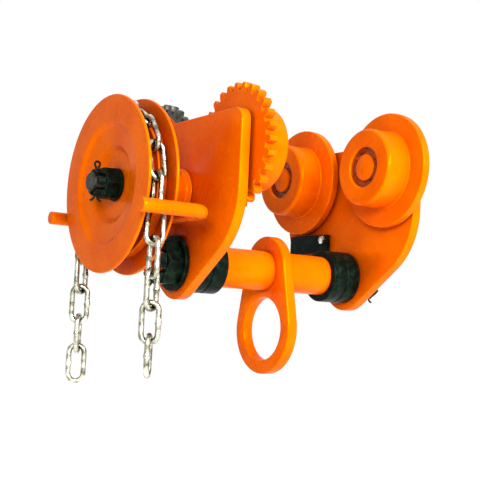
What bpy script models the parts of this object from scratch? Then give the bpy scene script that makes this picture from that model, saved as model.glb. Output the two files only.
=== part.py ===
"""Geared beam trolley: two side plates on a load shaft, four track wheels, an eye plate and a hand chain drive.

X runs across the beam, with the drive side at -X. Y runs along the beam and Z is up.
The origin is on the beam's running surface, midway between the side plates and between the wheels.
"""

import math

import bmesh
import bpy
from mathutils import Matrix, Vector

for old in list(bpy.data.objects):
    bpy.data.objects.remove(old, do_unlink=True)

# Clearances
SEAT_GAP = 0.0003
RUNNING_GAP = 0.0003

# Side plates
PLATE_GAP = 0.1740
PLATE_THICKNESS = 0.0090
PLATE_PAST_AXLES = 0.0290
PLATE_TOP = 0.0605
PLATE_CORNER_RADIUS = 0.0105
SHOULDER_RADIUS = 0.0620
SHOULDER_HEIGHT = -0.0020
PLATE_FOOT_RADIUS = 0.0300

# Track wheels
WHEEL_BASE = 0.1220
TREAD_RADIUS = 0.0340
TREAD_WIDTH = 0.0240
TREAD_BEVEL = 0.0020
FLANGE_RADIUS = 0.0510
FLANGE_WIDTH = 0.0075
FLANGE_BEVEL = 0.0010
WHEEL_SIDE_CLEARANCE = 0.0030

# Wheel bearings and axles
BEARING_OUTER_RADIUS = 0.0172
BEARING_RECESS = 0.0042
AXLE_RADIUS = 0.0077
AXLE_HEAD_RADIUS = 0.0108
AXLE_HEAD_HEIGHT = 0.0036
AXLE_COLLAR_RADIUS = 0.0115
AXLE_SEAT_DEPTH = 0.0070

# Gears
WHEEL_TEETH = 28
PINION_TEETH = 12
PRESSURE_ANGLE = math.radians(20)
WHEEL_ADDENDUM = 0.0024
WHEEL_DEDENDUM = 0.0039
PINION_ADDENDUM = 0.0030
PINION_DEDENDUM = 0.0028
TOOTH_THINNING = 0.0003
MESH_EXTRA = 0.00035
PINION_OVERHANG = 0.0010
DRIVE_SHAFT_DROP = 0.035044579

# Load shaft, its spacers and its nuts
SHAFT_HEIGHT = -0.0602
SHAFT_RADIUS = 0.0175
SHAFT_THREAD_RADIUS = 0.0120
SPACER_RADIUS = 0.0236
SPACER_LENGTH = 0.0146
SPACERS_PER_SIDE = 2
WASHER_THICKNESS = 0.0040
LOAD_NUT_FLATS = 0.0360
LOAD_NUT_HEX = 0.0130
LOAD_NUT_CROWN = 0.0060
SHAFT_END_PROUD = 0.0015

# Suspension plate
EYE_PLATE_THICKNESS = 0.0100
EYE_UPPER_RADIUS = 0.0290
EYE_UPPER_RISE = 0.0018
EYE_LOWER_RADIUS = 0.0398
EYE_HOLE_RADIUS = 0.0275
EYE_DROP = 0.0508

# Drive shaft and its housing
DRIVE_SHAFT_RADIUS = 0.0100
DRIVE_THREAD_RADIUS = 0.0080
THREAD_CHAMFER = 0.0010
BUSH_WALL = 0.0028
BUSH_PROUD = 0.0006
HOUSING_WALL = 0.0046
HOUSING_SPIGOT_WALL = 0.0020
HOUSING_LENGTH = 0.0320
HOUSING_CHAMFER = 0.0010

# Hand chain
CHAIN_PITCH = 0.0250
CHAIN_WIRE = 0.0044
CHAIN_PLAY = 0.0008
LINK_WIDTH = 0.0172
CHAIN_SEAT_RADIUS = 0.0620
NEAR_START_DEPTH = 0.0225
NEAR_LINK_TURNS = (116, 64, 64, 64, 90)
FAR_LINK_TURNS = (90, 75, 75, 64, 90, 90)

# Hand chain wheel
CHAIN_WHEEL_OFFSET = 0.0560
CHAIN_WHEEL_RIM = 0.0105
CHAIN_WHEEL_WIDTH = 0.0270
DISC_THICKNESS = 0.0026
DISH_EDGE_INSET = 0.0005
DISH_STEP_DEPTH = 0.0030
DISH_FLOOR_RADIUS = 0.0270
DISH_CONE_DEPTH = 0.0020
GROOVE_CLEARANCE = 0.0004
GROOVE_SIDE_CLEARANCE = 0.0006
GROOVE_BASE_DEPTH = 0.0115
GROOVE_WEB_THICKNESS = 0.0110
GROOVE_WEB_DEPTH = 0.0050
HUB_WASHER_RADIUS = 0.0135
HUB_WASHER_THICKNESS = 0.0025
HUB_NUT_FLATS = 0.0240
HUB_NUT_HEX = 0.0120
HUB_NUT_CROWN = 0.0065
HUB_END_PROUD = 0.0030

# Split pins
PIN_WIRE_RADIUS = 0.0009
PIN_LEG_GAP = 0.0003
PIN_HOLE_CLEARANCE = 0.0004
PIN_TAIL = 0.0045
PIN_HEAD_RADIUS = 0.0026

# Chain guide
GUIDE_BAR_RADIUS = 0.0055
GUIDE_CLEARANCE = 0.0045
GUIDE_BEND_RADIUS = 0.0120
GUIDE_OVERHANG = 0.0100
GUIDE_BACK_GAP = 0.0150

# Shaft keeper
KEEPER_THICKNESS = 0.0050
KEEPER_FLANGE_GAP = 0.0016
KEEPER_START = 0.0225
KEEPER_LENGTH = 0.0565
KEEPER_BOLT_FLATS = 0.0080
KEEPER_BOLT_HEAD = 0.0035
KEEPER_BOLT_RADIUS = 0.0025
KEEPER_BOLT_DEPTH = 0.0060
KEEPER_BOLT_INSET = 0.0045
KEEPER_BOLT_DROP = 0.0050

# Mesh fineness
ROUND_STEPS = 36
SMALL_STEPS = 20
FINE_STEPS = 16
WIRE_SIDES = 6
BEND_STEPS = 6
CUT_OVERRUN = 0.0020

# Places worked out from the sizes above
HALF_GAP = PLATE_GAP / 2
HALF_BASE = WHEEL_BASE / 2
PLATE_HALF_WIDTH = HALF_BASE + PLATE_PAST_AXLES
PLATE_OUTSIDE = HALF_GAP + PLATE_THICKNESS
MESH_DISTANCE = math.hypot(HALF_BASE, DRIVE_SHAFT_DROP)
TOOTH_MODULE = 2 * (MESH_DISTANCE - MESH_EXTRA) / (WHEEL_TEETH + PINION_TEETH)
DRIVE_HEIGHT = TREAD_RADIUS - DRIVE_SHAFT_DROP
CHAIN_WHEEL_RADIUS = CHAIN_SEAT_RADIUS + CHAIN_WHEEL_RIM
GROOVE_BASE_RADIUS = CHAIN_SEAT_RADIUS - GROOVE_BASE_DEPTH
DISH_EDGE_RADIUS = GROOVE_BASE_RADIUS - DISH_EDGE_INSET
WHEEL_WIDTH = FLANGE_WIDTH + TREAD_WIDTH
CHAIN_WHEEL_INSIDE = -PLATE_OUTSIDE - CHAIN_WHEEL_OFFSET + CHAIN_WHEEL_WIDTH / 2
CHAIN_WHEEL_MIDDLE = -PLATE_OUTSIDE - CHAIN_WHEEL_OFFSET
CHAIN_WHEEL_OUTSIDE = CHAIN_WHEEL_MIDDLE - CHAIN_WHEEL_WIDTH / 2
CHAIN_CHORD_RADIUS = math.sqrt(CHAIN_SEAT_RADIUS**2 - (CHAIN_PITCH / 2) ** 2)
LINK_HALF_INSIDE = (CHAIN_PITCH + CHAIN_PLAY) / 2
LINK_CROWN = LINK_HALF_INSIDE + CHAIN_WIRE / 2
LINK_PIVOT_RISE = CHAIN_PITCH - LINK_CROWN
PIN_HALF_WIDTH = 2 * PIN_WIRE_RADIUS + PIN_LEG_GAP / 2
PIN_HOLE_RADIUS = PIN_HALF_WIDTH + PIN_HOLE_CLEARANCE
GUIDE_HALF_SPAN = CHAIN_SEAT_RADIUS + LINK_WIDTH / 2 + GUIDE_CLEARANCE + GUIDE_BAR_RADIUS
HOUSING_RADIUS = DRIVE_SHAFT_RADIUS + RUNNING_GAP + BUSH_WALL + SEAT_GAP + HOUSING_WALL
SPIGOT_RADIUS = DRIVE_SHAFT_RADIUS + RUNNING_GAP + BUSH_WALL + SEAT_GAP + HOUSING_SPIGOT_WALL
GUIDE_HEIGHT = DRIVE_HEIGHT - HOUSING_RADIUS - SEAT_GAP - GUIDE_BAR_RADIUS
GUIDE_BACK = CHAIN_WHEEL_INSIDE + GUIDE_BACK_GAP + GUIDE_BAR_RADIUS


def make_material(name, colour, roughness, metallic):
    """A Principled material with one colour, roughness and metallic value."""
    material = bpy.data.materials.new(name)
    material.use_nodes = True
    shader = material.node_tree.nodes["Principled BSDF"]
    shader.inputs["Base Color"].default_value = (*colour, 1.0)
    shader.inputs["Roughness"].default_value = roughness
    shader.inputs["Metallic"].default_value = metallic
    material.diffuse_color = (*colour, 1.0)
    return material


ENAMEL = make_material("orange_enamel", (0.87, 0.16, 0.005), 0.30, 0.0)
BLACK = make_material("black_oxide", (0.012, 0.017, 0.013), 0.38, 0.0)
ZINC = make_material("zinc_plated_steel", (0.72, 0.70, 0.62), 0.28, 1.0)
STEEL = make_material("bright_steel", (0.56, 0.55, 0.53), 0.35, 1.0)
BRONZE = make_material("bush_bronze", (0.55, 0.34, 0.13), 0.40, 1.0)


def finish(name, mesh_data, material, place=(0, 0, 0), smooth_angle=35):
    """Turns a bmesh into a named object at a place, with round stretches shaded smooth."""
    bmesh.ops.recalc_face_normals(mesh_data, faces=mesh_data.faces[:])
    mesh = bpy.data.meshes.new(name)
    mesh_data.to_mesh(mesh)
    mesh_data.free()
    mesh.polygons.foreach_set("use_smooth", [True] * len(mesh.polygons))
    mesh.set_sharp_from_angle(angle=math.radians(smooth_angle))
    mesh.materials.append(material)
    part = bpy.data.objects.new(name, mesh)
    part.location = place
    bpy.context.scene.collection.objects.link(part)
    return part


def turned(name, profile, material, place, steps=ROUND_STEPS):
    """A piece turned about the X axis. The profile lists (x, radius) points, closed unless it meets the axis."""
    shape = bmesh.new()
    points = [shape.verts.new((x, radius, 0)) for x, radius in profile]
    lines = [shape.edges.new(pair) for pair in zip(points, points[1:])]
    if min(radius for _, radius in profile) > 0:
        lines.append(shape.edges.new((points[-1], points[0])))
    bmesh.ops.spin(
        shape,
        geom=points + lines,
        axis=(1, 0, 0),
        cent=(0, 0, 0),
        angle=math.tau,
        steps=steps,
        use_merge=True,
    )
    bmesh.ops.remove_doubles(shape, verts=shape.verts[:], dist=1e-7)
    return finish(name, shape, material, place)


def slab(name, outline, start, end, material, place=(0, 0, 0)):
    """A flat piece: an outline of (y, z) points drawn out from x = start to x = end."""
    shape = bmesh.new()
    corners = [shape.verts.new((start, y, z)) for y, z in outline]
    face = shape.faces.new(corners)
    grown = bmesh.ops.extrude_face_region(shape, geom=[face])
    moved = [item for item in grown["geom"] if isinstance(item, bmesh.types.BMVert)]
    bmesh.ops.translate(shape, verts=moved, vec=(end - start, 0, 0))
    return finish(name, shape, material, place)


def belt(circles, steps):
    """The outline of a belt drawn tight round some (y, z, radius) circles."""
    outline = []
    for step in range(steps):
        angle = math.tau * (step + 0.5) / steps
        away = Vector((math.cos(angle), math.sin(angle)))
        y, z, radius = max(circles, key=lambda c: c[0] * away.x + c[1] * away.y + c[2])
        outline.append((y + radius * away.x, z + radius * away.y))
    return outline


def cut(part, tools):
    """Cuts one or more tools out of a part with Boolean modifiers, and hides the tools."""
    for tool in tools:
        modifier = part.modifiers.new("cut_" + tool.name, "BOOLEAN")
        modifier.operation = "DIFFERENCE"
        modifier.solver = "EXACT"
        modifier.object = tool
        hide_tool(tool)


def hide_tool(tool):
    """Marks a tool so that it is neither rendered nor built."""
    tool.hide_render = True
    tool.display_type = "WIRE"


def rod_tool(name, axis, centre, radius, start, end, steps=SMALL_STEPS):
    """A round cutter along X or Z, from start to end on that axis."""
    shape = bmesh.new()
    bmesh.ops.create_cone(
        shape, cap_ends=True, segments=steps, radius1=radius, radius2=radius, depth=end - start
    )
    if axis == "X":
        bmesh.ops.rotate(shape, verts=shape.verts[:], matrix=Matrix.Rotation(math.pi / 2, 3, "Y"))
        place = Vector(((start + end) / 2, centre[1], centre[2]))
    else:
        place = Vector((centre[0], centre[1], (start + end) / 2))
    return finish(name, shape, BLACK, place)


def box_tool(name, centre, size, turn_about_x=0.0):
    """A box cutter, turned about X by an angle."""
    shape = bmesh.new()
    bmesh.ops.create_cube(shape, size=1.0)
    bmesh.ops.scale(shape, verts=shape.verts[:], vec=size)
    tool = finish(name, shape, BLACK, centre)
    tool.rotation_euler.x = turn_about_x
    return tool


def tooth_outline(teeth, addendum, dedendum, first_tooth):
    """The (angle, radius) points round a spur gear, from root to tip along each involute flank."""
    pitch_radius = TOOTH_MODULE * teeth / 2
    base_radius = pitch_radius * math.cos(PRESSURE_ANGLE)

    def involute(radius):
        angle = math.acos(min(1.0, base_radius / radius))
        return math.tan(angle) - angle

    half_tooth = math.pi / (2 * teeth) - TOOTH_THINNING / (2 * pitch_radius)
    heights = [pitch_radius - dedendum, pitch_radius + addendum]
    flank = [(half_tooth + involute(pitch_radius) - involute(r), r) for r in heights]
    points = []
    for tooth in range(teeth):
        middle = first_tooth + math.tau * tooth / teeth
        points += [(middle - half, radius) for half, radius in flank]
        points += [(middle + half, radius) for half, radius in reversed(flank)]
    return points


def gear_disc(name, outline, start, end, material, place):
    """A solid disc with teeth, from x = start to x = end."""
    points = [(radius * math.cos(angle), radius * math.sin(angle)) for angle, radius in outline]
    return slab(name, points, start, end, material, place)


def unite(part, other):
    """Joins another closed shape to a part with a Boolean union, and hides that shape."""
    modifier = part.modifiers.new("join_" + other.name, "BOOLEAN")
    modifier.operation = "UNION"
    modifier.solver = "EXACT"
    modifier.object = other
    hide_tool(other)


# Side plates, one like the other
plate_outline = belt(
    [
        (side * (PLATE_HALF_WIDTH - radius), height, radius)
        for side in (-1, 1)
        for height, radius in (
            (PLATE_TOP - PLATE_CORNER_RADIUS, PLATE_CORNER_RADIUS),
            (SHOULDER_HEIGHT, SHOULDER_RADIUS),
        )
    ]
    + [(0, SHAFT_HEIGHT - SEAT_GAP, PLATE_FOOT_RADIUS)],
    72,
)


def side_plate(name, side):
    """A side plate on one side of the beam, with its shaft hole and two blind axle seats."""
    plate = slab(name, plate_outline, side * HALF_GAP, side * PLATE_OUTSIDE, ENAMEL)
    inner = HALF_GAP - CUT_OVERRUN
    through = sorted((side * inner, side * (PLATE_OUTSIDE + CUT_OVERRUN)))
    blind = sorted((side * inner, side * (HALF_GAP + AXLE_SEAT_DEPTH)))
    shaft_hole = rod_tool(
        name + "_shaft_hole", "X", (0, 0, SHAFT_HEIGHT), SHAFT_RADIUS + SEAT_GAP, *through
    )
    tools = [shaft_hole]
    for end in (-1, 1):
        seat_name = name + "_axle_seat_" + ("near" if end < 0 else "far")
        centre = (0, end * HALF_BASE, TREAD_RADIUS)
        tools.append(rod_tool(seat_name, "X", centre, AXLE_RADIUS + SEAT_GAP, *blind))
    cut(plate, tools)
    return plate


drive_plate = side_plate("drive_side_plate", -1)
idler_plate = side_plate("idler_side_plate", 1)
housing_hole = rod_tool(
    "drive_side_plate_housing_hole",
    "X",
    (0, 0, DRIVE_HEIGHT),
    SPIGOT_RADIUS + SEAT_GAP,
    -PLATE_OUTSIDE - CUT_OVERRUN,
    -HALF_GAP + CUT_OVERRUN,
)
cut(drive_plate, [housing_hole])


# Track wheels: x runs from the side plate towards the middle of the beam
def wheel_places(side):
    """The near and far axle centres on one side, at the inner face of the side plate."""
    return {
        "near": (side * HALF_GAP, -HALF_BASE, TREAD_RADIUS),
        "far": (side * HALF_GAP, HALF_BASE, TREAD_RADIUS),
    }


bore_radius = BEARING_OUTER_RADIUS + SEAT_GAP
flange_start = WHEEL_SIDE_CLEARANCE
flange_end = flange_start + FLANGE_WIDTH
wheel_face = flange_start + WHEEL_WIDTH


def tread_profile(start, side):
    """A solid tread from x = start to its bevelled open end."""
    points = [
        (start, 0),
        (start, TREAD_RADIUS),
        (wheel_face - TREAD_BEVEL, TREAD_RADIUS),
        (wheel_face, TREAD_RADIUS - TREAD_BEVEL),
        (wheel_face, 0),
    ]
    return [(-side * x, radius) for x, radius in points]


def plain_wheel(name, place, side):
    """A plain track wheel: a flange next to the plate and a tread that ends in a bevel."""
    points = [
        (flange_start, bore_radius),
        (flange_start, FLANGE_RADIUS - FLANGE_BEVEL),
        (flange_start + FLANGE_BEVEL, FLANGE_RADIUS),
        (flange_end, FLANGE_RADIUS),
        (flange_end, TREAD_RADIUS),
        (wheel_face - TREAD_BEVEL, TREAD_RADIUS),
        (wheel_face, TREAD_RADIUS - TREAD_BEVEL),
        (wheel_face, bore_radius),
    ]
    return turned(name, [(-side * x, radius) for x, radius in points], ENAMEL, place)


def geared_wheel(name, place, side, first_tooth):
    """A geared track wheel: a toothed flange joined to the same tread, bored for the bearing."""
    outline = tooth_outline(WHEEL_TEETH, WHEEL_ADDENDUM, WHEEL_DEDENDUM, first_tooth)
    ends = (-side * flange_start, -side * flange_end)
    wheel = gear_disc(name, outline, *ends, ENAMEL, place)
    tread_start = (flange_start + flange_end) / 2
    tread = turned(name + "_tread", tread_profile(tread_start, side), ENAMEL, place)
    unite(wheel, tread)
    wheel_ends = (flange_start - CUT_OVERRUN, wheel_face + CUT_OVERRUN)
    bore_ends = sorted(place[0] - side * x for x in wheel_ends)
    cut(wheel, [rod_tool(name + "_bore", "X", place, bore_radius, *bore_ends, ROUND_STEPS)])
    return wheel


def wheel_fittings(name, place, side):
    """The bearing pressed in a track wheel and the axle that carries it."""
    bearing_start = flange_start + WHEEL_SIDE_CLEARANCE
    bearing_end = wheel_face - BEARING_RECESS
    bearing = [
        (bearing_start, AXLE_RADIUS + RUNNING_GAP),
        (bearing_start, BEARING_OUTER_RADIUS),
        (bearing_end, BEARING_OUTER_RADIUS),
        (bearing_end, AXLE_RADIUS + RUNNING_GAP),
    ]
    turned(name + "_bearing", [(-side * x, r) for x, r in bearing], STEEL, place, SMALL_STEPS)
    collar_end = bearing_start - RUNNING_GAP
    head = bearing_end + RUNNING_GAP
    dome = head + AXLE_HEAD_HEIGHT / 2
    axle = [
        (-AXLE_SEAT_DEPTH + SEAT_GAP, 0),
        (-AXLE_SEAT_DEPTH + SEAT_GAP, AXLE_RADIUS),
        (SEAT_GAP, AXLE_RADIUS),
        (SEAT_GAP, AXLE_COLLAR_RADIUS),
        (collar_end, AXLE_COLLAR_RADIUS),
        (collar_end, AXLE_RADIUS),
        (head, AXLE_RADIUS),
        (head, AXLE_HEAD_RADIUS),
        (dome, AXLE_HEAD_RADIUS * 0.87),
        (head + AXLE_HEAD_HEIGHT, AXLE_HEAD_RADIUS * 0.5),
        (head + AXLE_HEAD_HEIGHT, 0),
    ]
    turned(name + "_axle", [(-side * x, r) for x, r in axle], ENAMEL, place, FINE_STEPS)


# Meshing: the near wheel has a tooth at its top, and the pinion and the far wheel follow from it
drive_axis = Vector((0, DRIVE_HEIGHT))
near_centre = Vector((-HALF_BASE, TREAD_RADIUS))
wheel_pitch_angle = math.tau / WHEEL_TEETH
pinion_pitch_angle = math.tau / PINION_TEETH
near_tooth = math.pi / 2
line_near = math.atan2(drive_axis.y - near_centre.y, drive_axis.x - near_centre.x)
near_offset = (near_tooth - line_near) % wheel_pitch_angle
pinion_tooth = (
    line_near + math.pi - near_offset * WHEEL_TEETH / PINION_TEETH + pinion_pitch_angle / 2
)
line_far = math.atan2(near_centre.y - drive_axis.y, HALF_BASE)
pinion_offset = (pinion_tooth - line_far) % pinion_pitch_angle
far_tooth = (
    line_far + math.pi - pinion_offset * PINION_TEETH / WHEEL_TEETH + wheel_pitch_angle / 2
)

for end, place in wheel_places(-1).items():
    tooth = near_tooth if end == "near" else far_tooth
    geared_wheel("geared_wheel_" + end, place, -1, tooth)
    wheel_fittings("geared_wheel_" + end, place, -1)
for end, place in wheel_places(1).items():
    plain_wheel("plain_wheel_" + end, place, 1)
    wheel_fittings("plain_wheel_" + end, place, 1)


# Load shaft, washers, castle nuts and spacers
washer_end = PLATE_OUTSIDE + 2 * SEAT_GAP + WASHER_THICKNESS
load_nut_start = washer_end + SEAT_GAP
load_nut_length = LOAD_NUT_HEX + LOAD_NUT_CROWN
load_pin_place = load_nut_start + LOAD_NUT_HEX + LOAD_NUT_CROWN / 2
shaft_end = load_nut_start + load_nut_length + SHAFT_END_PROUD
shaft_step = PLATE_OUTSIDE

load_shaft = turned(
    "load_shaft",
    [
        (-shaft_end, 0),
        (-shaft_end, SHAFT_THREAD_RADIUS - THREAD_CHAMFER),
        (-shaft_end + THREAD_CHAMFER, SHAFT_THREAD_RADIUS),
        (-shaft_step, SHAFT_THREAD_RADIUS),
        (-shaft_step, SHAFT_RADIUS),
        (shaft_step, SHAFT_RADIUS),
        (shaft_step, SHAFT_THREAD_RADIUS),
        (shaft_end - THREAD_CHAMFER, SHAFT_THREAD_RADIUS),
        (shaft_end, SHAFT_THREAD_RADIUS - THREAD_CHAMFER),
        (shaft_end, 0),
    ],
    ENAMEL,
    (0, 0, SHAFT_HEIGHT),
)


def ring(name, start, end, inner, outer, material, height):
    """A plain ring about the X direction."""
    profile = [(start, inner), (start, outer), (end, outer), (end, inner)]
    return turned(name, profile, material, (0, 0, height), SMALL_STEPS)


def split_pin(name, x, height, reach):
    """A split pin of folded wire, standing up through a shaft of the X direction."""
    leg = PIN_WIRE_RADIUS + PIN_LEG_GAP / 2
    path = [
        (x - leg - PIN_TAIL * 0.7, -reach - PIN_TAIL * 0.7),
        (x - leg - PIN_TAIL * 0.2, -reach - PIN_TAIL * 0.3),
        (x - leg, -reach),
        (x - leg, reach),
    ]
    for step in range(5):
        angle = math.radians(210 - 60 * step)
        path.append(
            (
                x + PIN_HEAD_RADIUS * math.cos(angle),
                reach + PIN_HEAD_RADIUS * (1.6 + math.sin(angle)),
            )
        )
    path += [(2 * x - px, pz) for px, pz in reversed(path[:4])]
    curve = bpy.data.curves.new(name, "CURVE")
    curve.dimensions = "3D"
    curve.bevel_depth = PIN_WIRE_RADIUS
    curve.bevel_resolution = 1
    curve.use_fill_caps = True
    line = curve.splines.new("POLY")
    line.points.add(len(path) - 1)
    for point, (px, pz) in zip(line.points, path):
        point.co = (px, 0, pz, 1)
    curve.materials.append(ZINC)
    pin = bpy.data.objects.new(name, curve)
    pin.location = (0, 0, height)
    bpy.context.scene.collection.objects.link(pin)
    return pin


def castle_nut(name, start, outward, flats, hex_length, crown_length, bore, height):
    """A castle nut: a hexagon with a slotted crown on its outer side."""
    corner = flats / math.sqrt(3)
    hexagon = [
        (corner * math.cos(math.pi / 3 * i), corner * math.sin(math.pi / 3 * i)) for i in range(6)
    ]
    nut = slab(name, hexagon, start, start + outward * hex_length, BLACK, (0, 0, height))
    crown_radius = flats * 0.46
    top = start + outward * (hex_length + crown_length)
    root = start + outward * hex_length / 2
    crown_ends = sorted((root, top))
    crown = rod_tool(name + "_crown", "X", (0, 0, height), crown_radius, *crown_ends, 24)
    unite(nut, crown)
    bore_ends = sorted((start - outward * CUT_OVERRUN, top + outward * CUT_OVERRUN))
    tools = [rod_tool(name + "_bore", "X", (0, 0, height), bore, *bore_ends, 24)]
    slot_middle = start + outward * (hex_length + crown_length)
    slot_size = (2 * crown_length, 2 * flats, 2 * PIN_HOLE_RADIUS)
    for turn in range(3):
        angle = math.pi / 2 + math.pi / 3 * turn
        slot_name = name + "_slot_" + str(turn + 1)
        tools.append(box_tool(slot_name, (slot_middle, 0, height), slot_size, angle))
    cut(nut, tools)
    return nut


for side, side_name in ((-1, "drive"), (1, "idler")):
    face = side * (PLATE_OUTSIDE + SEAT_GAP)
    washer_range = sorted((face, face + side * WASHER_THICKNESS))
    ring(
        "load_washer_" + side_name,
        *washer_range,
        SHAFT_THREAD_RADIUS + SEAT_GAP,
        SPACER_RADIUS,
        BLACK,
        SHAFT_HEIGHT,
    )
    castle_nut(
        "load_nut_" + side_name,
        side * load_nut_start,
        side,
        LOAD_NUT_FLATS,
        LOAD_NUT_HEX,
        LOAD_NUT_CROWN,
        SHAFT_THREAD_RADIUS + SEAT_GAP,
        SHAFT_HEIGHT,
    )
    pin_x = side * load_pin_place
    split_pin("load_split_pin_" + side_name, pin_x, SHAFT_HEIGHT, LOAD_NUT_FLATS * 0.5)
    pin_hole = rod_tool(
        "load_pin_hole_" + side_name,
        "Z",
        (pin_x, 0, 0),
        PIN_HOLE_RADIUS,
        SHAFT_HEIGHT - SHAFT_RADIUS,
        SHAFT_HEIGHT + SHAFT_RADIUS,
        12,
    )
    cut(load_shaft, [pin_hole])
    for number in range(SPACERS_PER_SIDE):
        near_face = HALF_GAP - SEAT_GAP - number * (SPACER_LENGTH + SEAT_GAP)
        spacer_range = sorted((side * near_face, side * (near_face - SPACER_LENGTH)))
        ring(
            "load_spacer_" + side_name + "_" + str(number + 1),
            *spacer_range,
            SHAFT_RADIUS + SEAT_GAP,
            SPACER_RADIUS,
            BLACK,
            SHAFT_HEIGHT,
        )


# Suspension plate, which swings on the load shaft
eye_outline = belt(
    [
        (0, EYE_UPPER_RISE, EYE_UPPER_RADIUS),
        (0, -EYE_DROP, EYE_LOWER_RADIUS),
    ],
    64,
)
suspension_plate = slab(
    "suspension_plate",
    eye_outline,
    -EYE_PLATE_THICKNESS / 2,
    EYE_PLATE_THICKNESS / 2,
    ENAMEL,
    (0, 0, SHAFT_HEIGHT),
)
eye_reach = EYE_PLATE_THICKNESS / 2 + CUT_OVERRUN
cut(
    suspension_plate,
    [
        rod_tool(
            "suspension_shaft_hole",
            "X",
            (0, 0, SHAFT_HEIGHT),
            SHAFT_RADIUS + RUNNING_GAP,
            -eye_reach,
            eye_reach,
            ROUND_STEPS,
        ),
        rod_tool(
            "suspension_hook_hole",
            "X",
            (0, 0, SHAFT_HEIGHT - EYE_DROP),
            EYE_HOLE_RADIUS,
            -eye_reach,
            eye_reach,
            ROUND_STEPS,
        ),
    ],
)


# Drive shaft with its pinion, in a bush in the housing on the drive plate
pinion_inner_end = -HALF_GAP + flange_end + PINION_OVERHANG
pinion_outer_end = -HALF_GAP + flange_start - PINION_OVERHANG
disc_floor_inside = CHAIN_WHEEL_INSIDE - (CHAIN_WHEEL_WIDTH / 2 - SEAT_GAP / 2 - DISC_THICKNESS)
disc_floor_outside = 2 * CHAIN_WHEEL_MIDDLE - disc_floor_inside
shaft_shoulder = disc_floor_inside + SEAT_GAP
hub_washer_start = disc_floor_outside - SEAT_GAP
hub_washer_end = hub_washer_start - HUB_WASHER_THICKNESS
hub_nut_start = hub_washer_end - SEAT_GAP
hub_nut_end = hub_nut_start - HUB_NUT_HEX - HUB_NUT_CROWN
hub_pin_place = hub_nut_start - HUB_NUT_HEX - HUB_NUT_CROWN / 2
drive_end = hub_nut_end - HUB_END_PROUD

pinion_outline = tooth_outline(PINION_TEETH, PINION_ADDENDUM, PINION_DEDENDUM, pinion_tooth)
drive_shaft = turned(
    "drive_shaft_pinion",
    [
        (pinion_inner_end + THREAD_CHAMFER, 0),
        (pinion_inner_end + THREAD_CHAMFER, DRIVE_SHAFT_RADIUS),
        (shaft_shoulder, DRIVE_SHAFT_RADIUS),
        (shaft_shoulder, DRIVE_THREAD_RADIUS),
        (drive_end + THREAD_CHAMFER, DRIVE_THREAD_RADIUS),
        (drive_end, DRIVE_THREAD_RADIUS - THREAD_CHAMFER),
        (drive_end, 0),
    ],
    STEEL,
    (0, 0, DRIVE_HEIGHT),
    SMALL_STEPS,
)
pinion = gear_disc(
    "drive_shaft_pinion_teeth",
    pinion_outline,
    pinion_outer_end,
    pinion_inner_end,
    STEEL,
    (0, 0, DRIVE_HEIGHT),
)
unite(drive_shaft, pinion)
hub_pin_hole = rod_tool(
    "hub_pin_hole",
    "Z",
    (hub_pin_place, 0, 0),
    PIN_HOLE_RADIUS,
    DRIVE_HEIGHT - DRIVE_SHAFT_RADIUS,
    DRIVE_HEIGHT + DRIVE_SHAFT_RADIUS,
    12,
)
cut(drive_shaft, [hub_pin_hole])

housing_bore = DRIVE_SHAFT_RADIUS + RUNNING_GAP + BUSH_WALL + SEAT_GAP
housing_end = -PLATE_OUTSIDE - SEAT_GAP - HOUSING_LENGTH
turned(
    "drive_shaft_housing",
    [
        (-HALF_GAP, housing_bore),
        (-HALF_GAP, SPIGOT_RADIUS),
        (-PLATE_OUTSIDE - SEAT_GAP, SPIGOT_RADIUS),
        (-PLATE_OUTSIDE - SEAT_GAP, HOUSING_RADIUS),
        (housing_end + HOUSING_CHAMFER, HOUSING_RADIUS),
        (housing_end, HOUSING_RADIUS - HOUSING_CHAMFER),
        (housing_end, housing_bore),
    ],
    ENAMEL,
    (0, 0, DRIVE_HEIGHT),
    SMALL_STEPS,
)
ring(
    "drive_shaft_bush",
    housing_end - BUSH_PROUD,
    -HALF_GAP,
    DRIVE_SHAFT_RADIUS + RUNNING_GAP,
    housing_bore - SEAT_GAP,
    BRONZE,
    DRIVE_HEIGHT,
)


# Hand chain wheel: two dished discs either side of a grooved ring
floor_depth = CHAIN_WHEEL_WIDTH / 2 - SEAT_GAP / 2 - DISC_THICKNESS
cone_depth = DISH_STEP_DEPTH + DISH_CONE_DEPTH
dish_surface = [
    (0, CHAIN_WHEEL_RADIUS),
    (0, DISH_EDGE_RADIUS),
    (DISH_STEP_DEPTH, DISH_EDGE_RADIUS - DISH_STEP_DEPTH),
    (cone_depth, DISH_FLOOR_RADIUS + floor_depth - cone_depth),
    (floor_depth, DISH_FLOOR_RADIUS),
    (floor_depth, DRIVE_THREAD_RADIUS + SEAT_GAP),
]


def dished_disc(name, face, inward):
    """A pressed disc with a dished middle. Inward is the direction from its flat face to the groove."""
    back = [(depth + DISC_THICKNESS, radius) for depth, radius in reversed(dish_surface)]
    profile = [(face + inward * depth, radius) for depth, radius in dish_surface + back]
    return turned(name, profile, ENAMEL, (0, 0, DRIVE_HEIGHT))


dished_disc("chain_wheel_outer_disc", CHAIN_WHEEL_OUTSIDE, 1)
dished_disc("chain_wheel_inner_disc", CHAIN_WHEEL_INSIDE, -1)

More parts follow.
